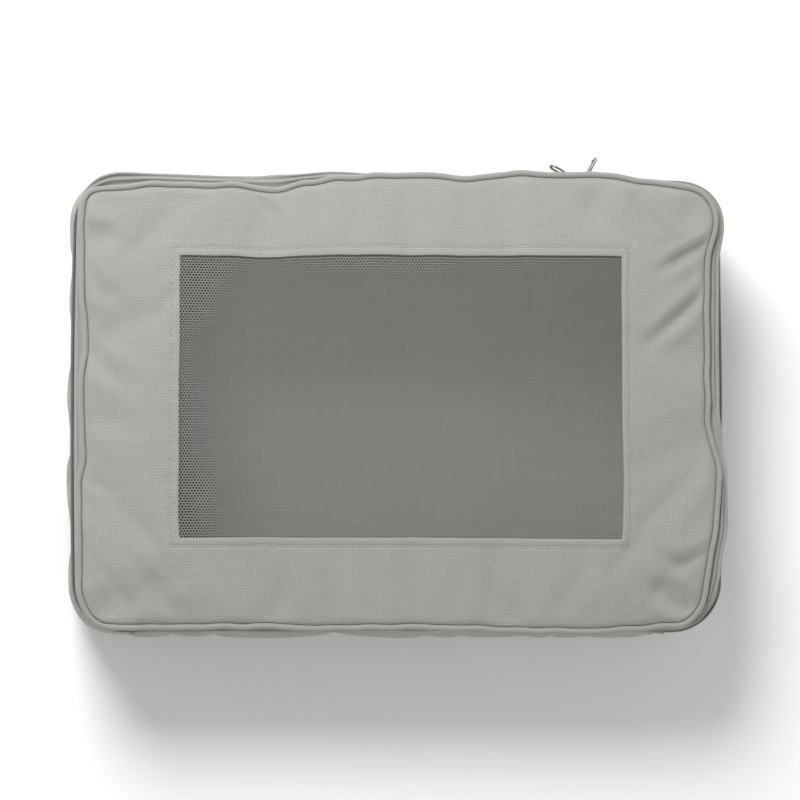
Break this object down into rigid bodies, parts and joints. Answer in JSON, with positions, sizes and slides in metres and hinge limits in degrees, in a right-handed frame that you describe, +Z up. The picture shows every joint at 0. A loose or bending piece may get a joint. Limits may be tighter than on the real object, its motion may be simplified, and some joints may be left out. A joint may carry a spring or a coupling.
{
  "type": "packing cube",
  "caption": "Soft rectangular packing cube with rounded corners, a piped lid with a mesh window, a zip round three sides and small ring pulls.",
  "frame": {"origin": "centre of the base panel's underside, on the surface that the cube lies on", "axes": "+X along the length, +Y towards the fabric hinge at the rear (the zip's front run and its sliders are at -Y), +Z up through the lid"},
  "size_m": [0.3524, 0.2598, 0.0865],
  "materials": {
    "shell_cloth": "plain woven, matt",
    "window_net": "fine net",
    "zip_tape_cloth": "twill tape",
    "seam_binding_cloth": "ribbed tape",
    "stitch_thread": "spun thread",
    "piping_core": "matt",
    "zip_coil_nylon": "satin",
    "slider_metal": "satin paint"
  },
  "bodies": {
    "base": {"base_panel": "shell_cloth", "base_piping_cover": "shell_cloth", "base_piping_cord": "piping_core", "base_seam_binding": "seam_binding_cloth", "side_gusset": "shell_cloth", "rear_panel": "shell_cloth", "lower_zip_tape": "zip_tape_cloth", "lower_zip_coil": "zip_coil_nylon", "gusset_stitching": "stitch_thread", "rear_seam_bindings": "seam_binding_cloth", "zip_end_bartacks": "stitch_thread"},
    "lid": {"lid_panel": "shell_cloth", "window_mesh": "window_net", "window_hem": "shell_cloth", "window_stitching": "stitch_thread", "lid_piping_cover": "shell_cloth", "lid_piping_cord": "piping_core", "lid_seam_binding": "seam_binding_cloth", "upper_zip_tape": "zip_tape_cloth", "upper_zip_coil": "zip_coil_nylon", "rear_flap": "shell_cloth"},
    "left_slider": {"left_slider_body": "slider_metal", "left_slider_bridge": "slider_metal"},
    "left_pull_ring": {"left_pull": "slider_metal"},
    "right_slider": {"right_slider_body": "slider_metal", "right_slider_bridge": "slider_metal"},
    "right_pull_ring": {"right_pull": "slider_metal"}
  },
  "joints": [
    {"name": "lid_fold", "type": "hinge", "parent": "base", "child": "lid", "pos_m": [0, 0.1255, 0.073], "axis": [-1, 0, 0], "range_deg": [0, 180]},
    {"name": "left_slider_travel", "type": "slide", "parent": "base", "child": "left_slider", "axis": [-1, 0, 0], "range_m": [0, 0.041]},
    {"name": "right_slider_travel", "type": "slide", "parent": "base", "child": "right_slider", "axis": [1, 0, 0], "range_m": [0, 0.237]},
    {"name": "left_pull_swing", "type": "hinge", "parent": "left_slider", "child": "left_pull_ring", "pos_m": [-0.10295, -0.1258, 0.073], "axis": [0, 0, -1], "range_deg": [-48, 62]},
    {"name": "right_pull_swing", "type": "hinge", "parent": "right_slider", "child": "right_pull_ring", "pos_m": [-0.09305, -0.1258, 0.073], "axis": [0, 0, -1], "range_deg": [-28, 82]}
  ]
}
